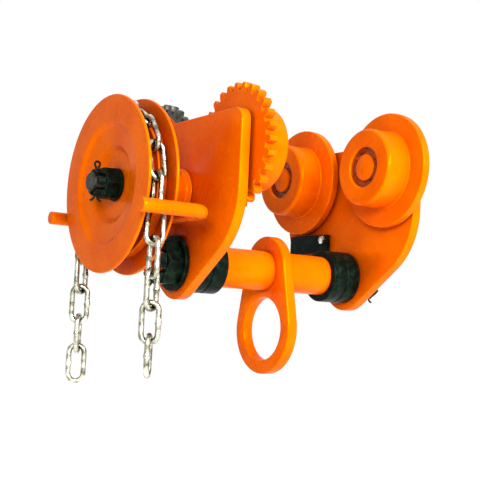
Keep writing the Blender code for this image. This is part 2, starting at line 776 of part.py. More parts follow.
groove_half_width = CHAIN_WHEEL_WIDTH / 2 - DISC_THICKNESS - SEAT_GAP
web_radius = CHAIN_CHORD_RADIUS - LINK_WIDTH / 2 - GROOVE_CLEARANCE - GROOVE_WEB_DEPTH
shelf_radius = CHAIN_CHORD_RADIUS - CHAIN_WIRE / 2 - GROOVE_CLEARANCE
slot_radius = CHAIN_CHORD_RADIUS - LINK_WIDTH / 2 - GROOVE_CLEARANCE
slot_half_width = CHAIN_WIRE / 2 + GROOVE_SIDE_CLEARANCE
groove_side = [
    (GROOVE_WEB_THICKNESS / 2, web_radius),
    (GROOVE_WEB_THICKNESS / 2, GROOVE_BASE_RADIUS),
    (groove_half_width, GROOVE_BASE_RADIUS),
    (groove_half_width, shelf_radius),
    (slot_half_width, shelf_radius),
    (slot_half_width, slot_radius),
]
groove_profile = [(CHAIN_WHEEL_MIDDLE + x, radius) for x, radius in groove_side]
groove_profile += [(CHAIN_WHEEL_MIDDLE - x, radius) for x, radius in reversed(groove_side)]
turned("chain_wheel_groove_ring", groove_profile, ENAMEL, (0, 0, DRIVE_HEIGHT))

ring(
    "chain_wheel_washer",
    hub_washer_end,
    hub_washer_start,
    DRIVE_THREAD_RADIUS + SEAT_GAP,
    HUB_WASHER_RADIUS,
    BLACK,
    DRIVE_HEIGHT,
)
castle_nut(
    "chain_wheel_nut",
    hub_nut_start,
    -1,
    HUB_NUT_FLATS,
    HUB_NUT_HEX,
    HUB_NUT_CROWN,
    DRIVE_THREAD_RADIUS + SEAT_GAP,
    DRIVE_HEIGHT,
)
split_pin("chain_wheel_split_pin", hub_pin_place, DRIVE_HEIGHT, HUB_NUT_FLATS * 0.5)


# Chain guide: one round bar bent to a U, welded under the housing, its ends outside the two strands
def tube(path, radius, sides, closed=False):
    """A round bar or wire of bmesh rings along a path that lies in one plane with a steady frame."""
    shape = bmesh.new()
    count = len(path)
    loops = []
    for i, point in enumerate(path):
        before = path[i - 1] if (i > 0 or closed) else point
        after = path[(i + 1) % count] if (i < count - 1 or closed) else point
        along = (after - before).normalized()
        across = along.cross(Vector((0, 0, 1))).normalized()
        loop = []
        for side in range(sides):
            angle = math.tau * side / sides
            offset = across * math.cos(angle) + Vector((0, 0, 1)) * math.sin(angle)
            loop.append(shape.verts.new(point + radius * offset))
        loops.append(loop)
    following = loops[1:] + (loops[:1] if closed else [])
    for loop, after in zip(loops, following):
        for i in range(sides):
            j = (i + 1) % sides
            shape.faces.new((loop[i], loop[j], after[j], after[i]))
    if not closed:
        shape.faces.new(loops[0])
        shape.faces.new(loops[-1])
    return shape


guide_end = CHAIN_WHEEL_OUTSIDE - GUIDE_OVERHANG
guide_path = [Vector((guide_end, -GUIDE_HALF_SPAN, 0))]
bend_centre = Vector((GUIDE_BACK - GUIDE_BEND_RADIUS, -GUIDE_HALF_SPAN + GUIDE_BEND_RADIUS, 0))
for step in range(BEND_STEPS + 1):
    angle = -math.pi / 2 + math.pi / 2 * step / BEND_STEPS
    turn = Vector((math.cos(angle), math.sin(angle), 0))
    guide_path.append(bend_centre + GUIDE_BEND_RADIUS * turn)
guide_path += [Vector((point.x, -point.y, 0)) for point in reversed(guide_path)]
guide_shape = tube(guide_path, GUIDE_BAR_RADIUS, FINE_STEPS)
finish("chain_guide", guide_shape, ENAMEL, (0, 0, GUIDE_HEIGHT), 50)


# Hand chain: welded oval links. It comes up on the near side, over the wheel, and down on the far side.
def chain_link(name, place, lean=0.0, turn=0.0, drop=0.0):
    """An oval link along Z with its width along X, turned about Z, then leaned about X."""
    bend = (LINK_WIDTH - CHAIN_WIRE) / 2
    straight = LINK_CROWN - bend
    path = []
    for end in (1, -1):
        for step in range(BEND_STEPS + 1):
            angle = math.pi * step / BEND_STEPS + (0 if end > 0 else math.pi)
            along = straight * end + bend * math.sin(angle)
            path.append(Vector((bend * math.cos(angle), along, 0)))
    shape = tube(path, CHAIN_WIRE / 2, WIRE_SIDES, closed=True)
    stand = Matrix.Rotation(turn, 3, "Z") @ Matrix.Rotation(math.pi / 2, 3, "X")
    bmesh.ops.rotate(shape, verts=shape.verts[:], matrix=stand)
    bmesh.ops.translate(shape, verts=shape.verts[:], vec=(0, 0, -drop))
    link = finish(name, shape, ZINC, place, 60)
    link.rotation_euler.x = lean
    return link


def route(distance):
    """The (y, z) point that far along the chain's way, from the level of the wheel's axis."""
    half_turn = math.pi * CHAIN_SEAT_RADIUS
    if distance < 0:
        return Vector((-CHAIN_SEAT_RADIUS, DRIVE_HEIGHT + distance))
    if distance > half_turn:
        return Vector((CHAIN_SEAT_RADIUS, DRIVE_HEIGHT + half_turn - distance))
    angle = distance / CHAIN_SEAT_RADIUS
    around = Vector((-math.cos(angle), math.sin(angle)))
    return Vector((0, DRIVE_HEIGHT)) + CHAIN_SEAT_RADIUS * around


def next_joint(distance):
    """How far along the way the next joint lies, one pitch away in a straight line."""
    start = route(distance)
    low, high = distance + CHAIN_PITCH, distance + 1.5 * CHAIN_PITCH
    for _ in range(50):
        middle = (low + high) / 2
        if (route(middle) - start).length < CHAIN_PITCH:
            low = middle
        else:
            high = middle
    return low


joint = -NEAR_START_DEPTH
number = 0
while joint < math.pi * CHAIN_SEAT_RADIUS:
    following = next_joint(joint)
    start, end = route(joint), route(following)
    middle, along = (start + end) / 2, end - start
    lean = math.atan2(-along.x, along.y)
    number += 1
    chain_link(
        "wheel_chain_link_" + str(number),
        (CHAIN_WHEEL_MIDDLE, middle.x, middle.y),
        lean,
        math.pi / 2 * (number % 2),
    )
    joint = following
last_upright = number % 2


def strand(name, side, top, first_turn, turns):
    """Links that hang one below another, each at its own turn from the one above it."""
    turned_by = first_turn
    for count, turn in enumerate(turns):
        turned_by -= math.radians(turn)
        centre = top - CHAIN_PITCH * (count + 0.5)
        place = (CHAIN_WHEEL_MIDDLE, side * CHAIN_SEAT_RADIUS, centre + LINK_PIVOT_RISE)
        chain_link(name + str(count + 1), place, 0.0, turned_by, LINK_PIVOT_RISE)


near_top = route(-NEAR_START_DEPTH).y
far_top = route(joint).y
strand("near_chain_link_", -1, near_top, math.pi / 2, NEAR_LINK_TURNS)
strand("far_chain_link_", 1, far_top, math.pi / 2 * last_upright, FAR_LINK_TURNS)


# Shaft keeper: a flat bar on the inner face of the idler plate, above the level of the spacers, with its bolt
keeper_foot = SHAFT_HEIGHT + SPACER_RADIUS + SEAT_GAP
keeper_top = TREAD_RADIUS - FLANGE_RADIUS - KEEPER_FLANGE_GAP
keeper_end = KEEPER_START + KEEPER_LENGTH
keeper_outline = [
    (KEEPER_START, keeper_foot),
    (keeper_end, keeper_foot),
    (keeper_end, keeper_top),
    (KEEPER_START, keeper_top),
]
keeper_back = HALF_GAP - SEAT_GAP
keeper_face = keeper_back - KEEPER_THICKNESS
keeper = slab("shaft_keeper", keeper_outline, keeper_back, keeper_face, BLACK)
bolt_place = (
    0,
    KEEPER_START + KEEPER_BOLT_INSET,
    keeper_top - KEEPER_BOLT_DROP,
)
bolt_tip = HALF_GAP + KEEPER_BOLT_DEPTH
bolt_hole = rod_tool(
    "keeper_bolt_hole",
    "X",
    bolt_place,
    KEEPER_BOLT_RADIUS + SEAT_GAP,
    keeper_face - CUT_OVERRUN,
    bolt_tip + SEAT_GAP,
    FINE_STEPS,
)
cut(keeper, [bolt_hole])
cut(idler_plate, [bolt_hole])
turned(
    "keeper_bolt",
    [
        (keeper_face - SEAT_GAP - KEEPER_BOLT_HEAD, 0),
        (keeper_face - SEAT_GAP - KEEPER_BOLT_HEAD, KEEPER_BOLT_FLATS * 0.5),
        (keeper_face - SEAT_GAP, KEEPER_BOLT_FLATS * 0.55),
        (keeper_face - SEAT_GAP, KEEPER_BOLT_RADIUS),
        (bolt_tip, KEEPER_BOLT_RADIUS),
        (bolt_tip, 0),
    ],
    ZINC,
    bolt_place,
    12,
)
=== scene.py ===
"""The finished look of the geared beam trolley, in white space and seen a little from below."""

import math

import bmesh
import bpy
import numpy as np
from mathutils import Matrix, Vector


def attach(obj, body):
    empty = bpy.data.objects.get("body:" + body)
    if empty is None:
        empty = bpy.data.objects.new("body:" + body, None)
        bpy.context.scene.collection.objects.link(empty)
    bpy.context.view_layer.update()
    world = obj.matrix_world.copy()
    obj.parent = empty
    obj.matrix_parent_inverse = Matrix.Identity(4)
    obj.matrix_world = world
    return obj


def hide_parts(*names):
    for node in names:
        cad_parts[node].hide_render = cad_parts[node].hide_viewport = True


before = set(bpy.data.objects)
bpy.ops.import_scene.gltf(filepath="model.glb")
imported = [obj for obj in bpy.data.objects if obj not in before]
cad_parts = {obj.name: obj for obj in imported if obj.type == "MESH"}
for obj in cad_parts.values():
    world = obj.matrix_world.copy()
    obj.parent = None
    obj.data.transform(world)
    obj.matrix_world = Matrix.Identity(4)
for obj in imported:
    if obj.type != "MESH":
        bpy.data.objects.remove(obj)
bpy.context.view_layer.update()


# ---- Side plates ----
# Two shields of 9 mm steel plate, profile cut, bored for the load shaft and sprayed with orange
# stove enamel. Their edges are ground to a small radius. Each carries two wheels, and the two
# hang 174 mm apart.

MM = 0.001
HALF_GAP = 87.0 * MM
OUTSIDE = HALF_GAP + 9.0 * MM
SEAT = 0.3 * MM
SHAFT_Z = -60.2 * MM
AXLE_Y = 61.0 * MM
AXLE_Z = 34.0 * MM
DRIVE_Z = AXLE_Z - 35.0446 * MM


def shaded(piece, crease=38):
    """Shades a piece smooth, apart from edges sharper than the crease angle in degrees."""
    piece.data.polygons.foreach_set("use_smooth", np.ones(len(piece.data.polygons), bool))
    piece.data.set_sharp_from_angle(angle=math.radians(crease))
    return piece


def surface(name, grid, ring=False, crease=38):
    """Skins points grid[v, u], whose u runs round the piece. As a ring, v closes on itself too;
    otherwise a flat cap or a pole closes each end. Points that meet are merged."""
    rows, columns = grid.shape[:2]
    index = np.arange(rows * columns).reshape(rows, columns)
    lower, upper = (index, np.roll(index, -1, 0)) if ring else (index[:-1], index[1:])
    quads = np.stack((lower, np.roll(lower, -1, 1), np.roll(upper, -1, 1), upper), -1)
    caps = [] if ring else [index[0].tolist(), index[-1].tolist()]
    mesh = bpy.data.meshes.new(name)
    mesh.from_pydata(grid.reshape(-1, 3).tolist(), [], quads.reshape(-1, 4).tolist() + caps)
    shape = bmesh.new()
    shape.from_mesh(mesh)
    bmesh.ops.remove_doubles(shape, verts=shape.verts[:], dist=1e-7)
    bmesh.ops.dissolve_degenerate(shape, edges=shape.edges[:], dist=1e-8)
    bmesh.ops.recalc_face_normals(shape, faces=shape.faces[:])
    shape.to_mesh(mesh)
    shape.free()
    piece = bpy.data.objects.new(name, mesh)
    bpy.context.scene.collection.objects.link(piece)
    return shaded(piece, crease)


def turned(name, profile, centre, steps=144):
    """A piece turned about the X direction: each profile point (x, r) goes round the centre (y, z),
    p(v, t) = (x_v, y + r_v cos t, z + r_v sin t)."""
    profile = np.array(profile, float)
    x, radius = profile[:, :1], profile[:, 1:]
    t = np.linspace(0, math.tau, steps, endpoint=False)[None, :]
    y, z = centre[0] + radius * np.cos(t), centre[1] + radius * np.sin(t)
    grid = np.stack((np.broadcast_to(x, y.shape), y, z), -1)
    return surface(name, grid, ring=bool(radius.min() > 1e-6))


def profile_cut(name, circles, start, end, ease, steps=288):
    """A plate from x = start to end, cut to the line of a tight belt round circles (y, z, r): at
    angle t it lies on the circle with the greatest y cos t + z sin t + r, at (y, z) +
    (r - i)(cos t, sin t). The inset i follows a quarter round of radius ease at both faces."""
    circles = np.array(circles)
    t = (np.arange(steps) + 0.5) / steps * math.tau
    away = np.stack((np.cos(t), np.sin(t)), -1)
    held = circles[np.argmax(away @ circles[:, :2].T + circles[:, 2], 1)]
    bend = np.linspace(0, math.pi / 2, 6)
    x = np.concatenate((start + ease * (1 - np.cos(bend)), end - ease * (1 - np.cos(bend[::-1]))))
    inset = ease * (1 - np.sin(np.concatenate((bend, bend[::-1]))))
    line = held[:, :2] + (held[:, 2:] - inset[:, None, None]) * away
    place = np.broadcast_to(x[:, None, None], line.shape[:2] + (1,))
    return surface(name, np.concatenate((place, line), -1))


def settled(piece):
    """Gives a piece the mesh that its modifiers make."""
    bpy.context.view_layer.update()
    graph = bpy.context.evaluated_depsgraph_get()
    mesh = bpy.data.meshes.new_from_object(piece.evaluated_get(graph))
    piece.modifiers.clear()
    piece.data = mesh
    return shaded(piece)


def worked(piece, tools, operation="DIFFERENCE"):
    """Cuts tools out of a piece, or keeps what it shares with them, and takes the tools away."""
    for tool in tools:
        modifier = piece.modifiers.new("work", "BOOLEAN")
        modifier.operation = operation
        modifier.solver = "EXACT"
        modifier.object = tool
    settled(piece)
    for tool in tools:
        bpy.data.objects.remove(tool, do_unlink=True)
    return piece


def drill(centre, radius, start, end, ease, steps=128):
    """A drill along X, from x = start to end, that flares by the ease at both ends, so that the
    rims of its hole are broken."""
    profile = [
        (start - 2 * MM, 0),
        (start - 2 * MM, radius + ease),
        (start, radius + ease),
        (start + 0.3 * ease, radius + 0.3 * ease),
        (start + ease, radius),
        (end - ease, radius),
        (end - 0.3 * ease, radius + 0.3 * ease),
        (end, radius + ease),
        (end + 2 * MM, radius + ease),
        (end + 2 * MM, 0),
    ]
    return turned("drill", profile, centre, steps)


def colour(code):
    """Linear light from an sRGB hex code."""
    values = np.array([int(code[i : i + 2], 16) for i in (0, 2, 4)]) / 255
    linear = np.where(values <= 0.04045, values / 12.92, ((values + 0.055) / 1.055) ** 2.4)
    return (*linear.tolist(), 1.0)


def add(tree, kind, inputs=None, stops=(), **settings):
    """Adds a node with its settings. An input is a number, a socket, or a node, whose first output
    is then linked. Stops give a ramp's positions and sRGB colours."""
    node = tree.nodes.new("ShaderNode" + kind)
    for key, value in settings.items():
        setattr(node, key, value)
    for key, value in (inputs or {}).items():
        value = value.outputs[0] if isinstance(value, bpy.types.Node) else value
        if isinstance(value, bpy.types.NodeSocket):
            tree.links.new(value, node.inputs[key])
        else:
            node.inputs[key].default_value = value
    for count, (position, code) in enumerate(stops):
        if count > 1:
            node.color_ramp.elements.new(position)
        node.color_ramp.elements[count].position = position
        node.color_ramp.elements[count].color = colour(code)
    return node


def begin(name, **numbers):
    """A new material, its tree, its shader with the numbers that are the same all over, and the
    Object coordinates that its patterns read."""
    material = bpy.data.materials.new(name)
    material.use_nodes = True
    tree = material.node_tree
    shader = tree.nodes["Principled BSDF"]
    for key, value in numbers.items():
        shader.inputs[key.replace("_", " ")].default_value = value
    return material, tree, shader, add(tree, "TexCoord").outputs["Object"]


# Gloss stove enamel, sprayed on steel and baked: a full orange, with painted shade that turns it
# red-brown in sheltered places, and paler where it runs thin on edges. A slow wave, 9 mm long, and
# an orange peel stand in its shine; the peel is 0.8 mm wide on the real one, and is drawn at 1.6 mm
# so that it shows.
ENAMEL, tree, shader, place = begin("orange_stove_enamel", Metallic=0.13)
shader.inputs["Specular Tint"].default_value = colour("ffb030")
shader.inputs["Specular IOR Level"].default_value = 0.05
drift = add(tree, "TexNoise", {"Vector": place, "Scale": 1 / (40 * MM)})
coat = add(tree, "ValToRGB", {0: drift}, [(0.32, "e25e00"), (0.50, "ea6600"), (0.68, "f06d00")])
# Painted shade: occlusion within 50 mm darkens the orange to red-brown behind and between parts.
corner = add(tree, "AmbientOcclusion", {"Distance": 50 * MM}, samples=8).outputs["AO"]
painted_shade = add(tree, "MapRange", {0: corner, 1: 0.25, 2: 0.80, 3: 0.80, 4: 0.0})
coat = add(tree, "Mix", {0: painted_shade, 6: coat, 7: colour("962800")}, data_type="RGBA").outputs[2]
soft = add(tree, "Bevel", {"Radius": 0.8 * MM}, samples=4)
true = add(tree, "NewGeometry").outputs["Normal"]
alike = add(tree, "VectorMath", {0: soft, 1: true}, operation="DOT_PRODUCT").outputs["Value"]
edge = add(tree, "MapRange", {0: alike, 1: 0.995, 2: 0.90})
patches = add(tree, "TexNoise", {"Vector": place, "Scale": 1 / (6 * MM)})
patches = add(tree, "MapRange", {0: patches, 1: 0.3, 2: 0.7, 3: 0.1, 4: 0.6})
thin = add(tree, "Math", {0: edge, 1: patches}, operation="MULTIPLY")
coat = add(tree, "Mix", {0: thin, 6: coat, 7: colour("ff9208")}, data_type="RGBA").outputs[2]
tree.links.new(coat, shader.inputs["Base Color"])
cloud = add(tree, "TexNoise", {"Vector": place, "Scale": 1 / (12 * MM)})
cloud = add(tree, "MapRange", {0: cloud, 1: 0.3, 2: 0.7, 3: 0.20, 4: 0.32})
tree.links.new(cloud.outputs[0], shader.inputs["Roughness"])
wave = add(tree, "TexNoise", {"Vector": place, "Scale": 1 / (9 * MM), "Detail": 1})
wave = add(tree, "Bump", {"Height": wave, "Distance": 0.4 * MM, "Strength": 0.16})
peel = add(tree, "TexNoise", {"Vector": place, "Scale": 1 / (1.6 * MM), "Detail": 1})
peel = add(tree, "Bump", {"Height": peel, "Distance": 0.1 * MM, "Strength": 0.06, "Normal": wave})
tree.links.new(peel.outputs[0], shader.inputs["Normal"])


def dress(piece, node, body, material):
    """Gives a piece its material, and lets it stand for a CAD node on its body."""
    piece.name = "dressed_" + node
    piece.data.materials.clear()
    piece.data.materials.append(material)
    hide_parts(node)
    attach(piece, body)


SHAFT_HOLE_R = 17.8 * MM
SPIGOT_HOLE_R = 15.7 * MM
PLATE_EASE = 1.0 * MM
HOLE_EASE = 0.15 * MM
PLATE_CIRCLES = [
    (side * (90.0 - radius) * MM, height * MM, radius * MM)
    for side in (-1, 1)
    for height, radius in ((50.0, 10.5), (-2.0, 62.0))
] + [(0.0, SHAFT_Z - SEAT, 30.0 * MM)]

for node, start, end, holes in (
    ("drive_side_plate", -OUTSIDE, -HALF_GAP, [(SHAFT_Z, SHAFT_HOLE_R), (DRIVE_Z, SPIGOT_HOLE_R)]),
    ("idler_side_plate", HALF_GAP, OUTSIDE, [(SHAFT_Z, SHAFT_HOLE_R)]),
):
    plate = profile_cut(node, PLATE_CIRCLES, start, end, PLATE_EASE)
    worked(plate, [drill((0, z), radius, start, end, HOLE_EASE) for z, radius in holes])
    dress(plate, node, "trolley", ENAMEL)


# ---- Plain track wheels ----
# Turned steel wheels for the idler side, enamelled all over, each running on a sealed bearing. A
# thin flange next to the plate keeps the trolley on the beam, and the tread rolls on the beam's
# foot.

FLANGE = (3.0 * MM, 10.5 * MM)
WHEEL_FACE = 34.5 * MM
TREAD_R = 34.0 * MM
FLANGE_R = 51.0 * MM
BORE_R = 17.5 * MM


def eased(corners, reaches, steps=6):
    """Rounds the corners of a closed line. From a, its reach in mm before corner p, to b, as far
    after it, the line follows B(s) = (1 - s)^2 a + 2 s (1 - s) p + s^2 b."""
    corner = np.array(corners, float)
    back, ahead = np.roll(corner, 1, 0) - corner, np.roll(corner, -1, 0) - corner
    back_length = np.linalg.norm(back, axis=1, keepdims=True)
    ahead_length = np.linalg.norm(ahead, axis=1, keepdims=True)
    reach = np.array(reaches, float)[:, None] * MM
    reach = np.minimum(reach, 0.48 * np.minimum(back_length, ahead_length))
    a = (corner + back / back_length * reach)[:, None]
    b = (corner + ahead / ahead_length * reach)[:, None]
    s = np.linspace(0, 1, steps)[None, :, None]
    line = (1 - s) ** 2 * a + 2 * s * (1 - s) * corner[:, None] + s**2 * b
    return line.reshape(-1, 2)


TREAD = [
    (FLANGE[1], TREAD_R),
    (WHEEL_FACE - 2.0 * MM, TREAD_R),
    (WHEEL_FACE, TREAD_R - 2.0 * MM),
    (WHEEL_FACE, BORE_R + 1.2 * MM),
    (WHEEL_FACE - 1.2 * MM, BORE_R),
    (FLANGE[0], BORE_R),
]
TREAD_EASES = [1.5, 1.0, 1.0, 0.5, 0.5, 0.4]

for end, y in (("near", -AXLE_Y), ("far", AXLE_Y)):
    corners = [(FLANGE[0], FLANGE_R), (FLANGE[1], FLANGE_R)] + TREAD
    line = eased(corners, [1.4, 1.4] + TREAD_EASES)
    wheel = turned("wheel", line * (-1, 1) + (HALF_GAP, 0), (y, AXLE_Z), 180)
    dress(wheel, "plain_wheel_" + end, "plain_" + end, ENAMEL)


# ---- Geared track wheels ----
# The same wheels for the drive side, with 28 stub teeth milled in a wider flange and enamelled
# with it. One pinion between them turns both. The teeth have a pitch module of 3.5 mm, and broken
# ends.

MODULE = 3.5 * MM
PRESSURE = math.radians(20)
WHEEL_TEETH, PINION_TEETH = 28, 12
BACKLASH = 0.3 * MM
ROOT_SPREAD = 0.25 * MM
RIM_R = 42.0 * MM


def gear_line(teeth, addendum, dedendum, first):
    """Angle and radius round a spur gear. A flank is an involute of the base circle: its half angle
    at radius r is h + inv(pressure) - inv(a), where cos a = base / r and inv(a) = tan a - a."""
    pitch = MODULE * teeth / 2
    height = np.linspace(pitch - dedendum, pitch + addendum, 7)
    lean = np.arccos(np.minimum(1.0, pitch * math.cos(PRESSURE) / height))
    half = math.pi / (2 * teeth) - BACKLASH / (2 * pitch)
    half = half + math.tan(PRESSURE) - PRESSURE - np.tan(lean) + lean
    half[0] += ROOT_SPREAD / pitch
    angle = np.concatenate((-half, [0.0], half[::-1], [math.pi / teeth]))
    radius = np.concatenate((height, height[-1:], height[::-1], height[:1]))
    middles = first + math.tau / teeth * np.arange(teeth)[:, None]
    return (middles + angle).ravel(), np.tile(radius, teeth)


def geared(name, line, rings, centre):
    """Rings about the X direction through a gear line's angles, given as (x, r, k). The radius is
    r + k times the gear line's own, so k = 0 is a plain circle and k = 1 has teeth."""
    angle, tooth = line
    x, radius, toothed = np.array(rings, float).T[:, :, None]
    radius = radius + toothed * tooth
    y, z = centre[0] + radius * np.cos(angle), centre[1] + radius * np.sin(angle)
    grid = np.stack((np.broadcast_to(x, y.shape), y, z), -1)
    return surface(name, grid, ring=bool(radius.min() > 1e-6), crease=32)


wheel_step, pinion_step = math.tau / WHEEL_TEETH, math.tau / PINION_TEETH
slope = math.atan2(AXLE_Z - DRIVE_Z, AXLE_Y)
drive = ((math.pi / 2 + slope) % wheel_step) * WHEEL_TEETH / PINION_TEETH
pinion_tooth = math.pi - slope - drive + pinion_step / 2
driven = ((pinion_tooth - slope) % pinion_step) * PINION_TEETH / WHEEL_TEETH
far_tooth = slope + math.pi - driven + wheel_step / 2

# Painted shade on the far wheel's teeth: black-green with brown patches, drawn as a lumpy wet film
# every 4 mm.
FAR_TEETH_SHADE, tree, shader, place = begin("far_teeth_painted_shade")
film = add(tree, "TexNoise", {"Vector": place, "Scale": 1 / (4 * MM), "Detail": 3})
tint = add(tree, "ValToRGB", {0: film}, [(0.34, "0c120c"), (0.56, "1c2216"), (0.72, "4a3410")])
tree.links.new(tint.outputs[0], shader.inputs["Base Color"])
sheen = add(tree, "MapRange", {0: film, 1: 0.3, 2: 0.7, 3: 0.25, 4: 0.50})
tree.links.new(sheen.outputs[0], shader.inputs["Roughness"])
lumps = add(tree, "Bump", {"Height": film, "Distance": 0.4 * MM, "Strength": 0.4})
tree.links.new(lumps.outputs[0], shader.inputs["Normal"])

for end, y, first in (("near", -AXLE_Y, math.pi / 2), ("far", AXLE_Y, far_tooth)):
    rings = [
        (FLANGE[0], -0.6 * MM, 1),
        (FLANGE[0] + 0.5 * MM, 0, 1),
        (FLANGE[1] - 0.5 * MM, 0, 1),
        (FLANGE[1], -0.6 * MM, 1),
        (FLANGE[1], RIM_R, 0),
    ]
    rings += [(x, r, 0) for x, r in eased(TREAD, TREAD_EASES)] + [(FLANGE[0], RIM_R, 0)]
    line = gear_line(WHEEL_TEETH, addendum=2.4 * MM, dedendum=3.9 * MM, first=first)
    wheel = geared("wheel", line, np.array(rings) + (-HALF_GAP, 0, 0), (y, AXLE_Z))
    dress(wheel, "geared_wheel_" + end, "geared_" + end, ENAMEL)
    # Only the far wheel's teeth take the black-green painted shade; the near wheel stays orange.
    if end == "far":
        wheel.data.materials.append(FAR_TEETH_SHADE)
        centres = np.empty(3 * len(wheel.data.polygons))
        wheel.data.polygons.foreach_get("center", centres)
        _, across, rise = centres.reshape(-1, 3).T
        shaded_teeth = np.hypot(across - y, rise - AXLE_Z) > RIM_R + 1.0 * MM
        wheel.data.polygons.foreach_set("material_index", shaded_teeth.astype(int))


# ---- Wheel bearings and axles ----
# A sealed ball bearing of hard steel sits deep in each wheel, dark orange-brown with painted shade.
# The steel axle is pressed in the plate, and its enamelled domed head closes the bearing's bore.

# Steel rings and a rubber seal under overspray, in a dark orange-brown that is painted shade of the
# deep recess, shiny in patches.
BEARING_SHADE, tree, shader, place = begin("bearing_steel_painted_shade")
film = add(tree, "TexNoise", {"Vector": place, "Scale": 1 / (3 * MM), "Detail": 3})
film = add(tree, "ValToRGB", {0: film}, [(0.34, "5e2002"), (0.52, "963a04"), (0.70, "c25e08")])
tree.links.new(film.outputs[0], shader.inputs["Base Color"])
sheen = add(tree, "TexNoise", {"Vector": place, "Scale": 1 / (2 * MM)})
sheen = add(tree, "MapRange", {0: sheen, 1: 0.3, 2: 0.7, 3: 0.22, 4: 0.50})
tree.links.new(sheen.outputs[0], shader.inputs["Roughness"])
smear = add(tree, "TexNoise", {"Vector": place, "Scale": 1 / (1.2 * MM)})
smear = add(tree, "Bump", {"Height": smear, "Distance": 0.2 * MM, "Strength": 0.3})
tree.links.new(smear.outputs[0], shader.inputs["Normal"])

BEARING = (6.0 * MM, WHEEL_FACE - 4.2 * MM)
AXLE_R, COLLAR_R, HEAD_R = 7.7 * MM, 11.5 * MM, 12.0 * MM

for kind, side in (("geared", -1), ("plain", 1)):
    for end, y in (("near", -AXLE_Y), ("far", AXLE_Y)):
        node = kind + "_wheel_" + end
        back, front = BEARING
        corners = [
            (back, 8.0 * MM),
            (back, 17.2 * MM),
            (front, 17.2 * MM),
            (front, 15.8 * MM),
            (front - 1.4 * MM, 15.4 * MM),
            (front - 1.4 * MM, 12.4 * MM),
            (front, 12.0 * MM),
            (front, 8.0 * MM),
        ]
        line = eased(corners, [0.3] * 8) * (-side, 1) + (side * HALF_GAP, 0)
        bearing = turned("bearing", line, (y, AXLE_Z), 96)
        dress(bearing, node + "_bearing", kind + "_" + end, BEARING_SHADE)
        shank = [
            (-6.7 * MM, 0),
            (-6.7 * MM, AXLE_R),
            (SEAT, AXLE_R),
            (SEAT, COLLAR_R),
            (back - SEAT, COLLAR_R),
            (back - SEAT, AXLE_R),
            (front + SEAT, AXLE_R),
            (front + SEAT, HEAD_R),
        ]
        t = np.linspace(0, math.pi / 2, 16)
        head = front + SEAT + (1.0 + 3.4 * np.sin(t)) * MM
        line = np.concatenate((shank, np.stack((head, HEAD_R * np.cos(t)), 1)))
        axle = turned("axle", line * (-side, 1) + (side * HALF_GAP, 0), (y, AXLE_Z), 72)
        dress(axle, node + "_axle", "trolley", ENAMEL)


# ---- Load shaft ----
# A 35 mm turned steel bar that carries the load between the plates, enamelled like them.
# It steps down to a thread at each end, which stands proud of its castle nut and is chamfered.

WASHER = 4.0 * MM
SHAFT_R, THREAD_R = 17.5 * MM, 12.0 * MM
NUT_X = OUTSIDE + WASHER + 2 * SEAT
SHAFT_END = NUT_X + 20.5 * MM
corners = [
    (-SHAFT_END, 0),
    (-SHAFT_END, THREAD_R),
    (-OUTSIDE, THREAD_R),
    (-OUTSIDE, SHAFT_R),
    (OUTSIDE, SHAFT_R),
    (OUTSIDE, THREAD_R),
    (SHAFT_END, THREAD_R),
    (SHAFT_END, 0),
]
load_shaft = turned("shaft", eased(corners, [0, 1.0, 0.3, 0.8, 0.8, 0.3, 1.0, 0]), (0, SHAFT_Z))
dress(load_shaft, "load_shaft", "trolley", ENAMEL)


# ---- Spacers and washers ----
# Rings turned from bar and blackened, with chamfered corners, left oily and unpainted.
# Two spacers on each side set the width between the plates, and one washer lies under each nut.

# Black oxide on steel, oiled. The eye meets near black with a green cast, grey on rubbed edges,
# and small glints from a grain that is drawn 0.8 mm wide, though the real one is finer than the
# render shows.
BLACK, tree, shader, place = begin("oiled_black_oxide", Specular_Tint=colour("d8ffe4"))
shader.inputs["Specular IOR Level"].default_value = 0.05
film = add(tree, "TexNoise", {"Vector": place, "Scale": 1 / (6 * MM), "Detail": 3})
film = add(tree, "ValToRGB", {0: film}, [(0.34, "030806"), (0.52, "07110c"), (0.70, "12211a")])
soft = add(tree, "Bevel", {"Radius": 0.5 * MM}, samples=4)
true = add(tree, "NewGeometry").outputs["Normal"]
alike = add(tree, "VectorMath", {0: soft, 1: true}, operation="DOT_PRODUCT").outputs["Value"]
edge = add(tree, "MapRange", {0: alike, 1: 0.995, 2: 0.90})
patches = add(tree, "TexNoise", {"Vector": place, "Scale": 1 / (2.5 * MM)})
patches = add(tree, "MapRange", {0: patches, 1: 0.3, 2: 0.7, 3: 0.0, 4: 0.6})
rubbed = add(tree, "Math", {0: edge, 1: patches}, operation="MULTIPLY")
film = add(tree, "Mix", {0: rubbed, 6: film, 7: colour("5a665e")}, data_type="RGBA").outputs[2]
tree.links.new(film, shader.inputs["Base Color"])
oil = add(tree, "TexNoise", {"Vector": place, "Scale": 1 / (3 * MM)})
oil = add(tree, "MapRange", {0: oil, 1: 0.3, 2: 0.7, 3: 0.26, 4: 0.46})
tree.links.new(oil.outputs[0], shader.inputs["Roughness"])
grain = add(tree, "TexNoise", {"Vector": place, "Scale": 1 / (0.8 * MM)})
grain = add(tree, "Bump", {"Height": grain, "Distance": 0.1 * MM, "Strength": 0.3})
tree.links.new(grain.outputs[0], shader.inputs["Normal"])


def black_ring(node, start, end, bore, outer, z, body, chamfer):
    """A turned ring from x = start to end, with both outer corners chamfered."""
    corners = [
        (start, bore),
        (start, outer - chamfer),
        (start + chamfer, outer),
        (end - chamfer, outer),
        (end, outer - chamfer),
        (end, bore),
    ]
    ring = turned("ring", eased(corners, [0.3] * 6, 4), (0, z), 128)
    dress(ring, node, body, BLACK)


RING_R, NUT_BORE_R, SPACER = 23.6 * MM, 12.3 * MM, 14.6 * MM

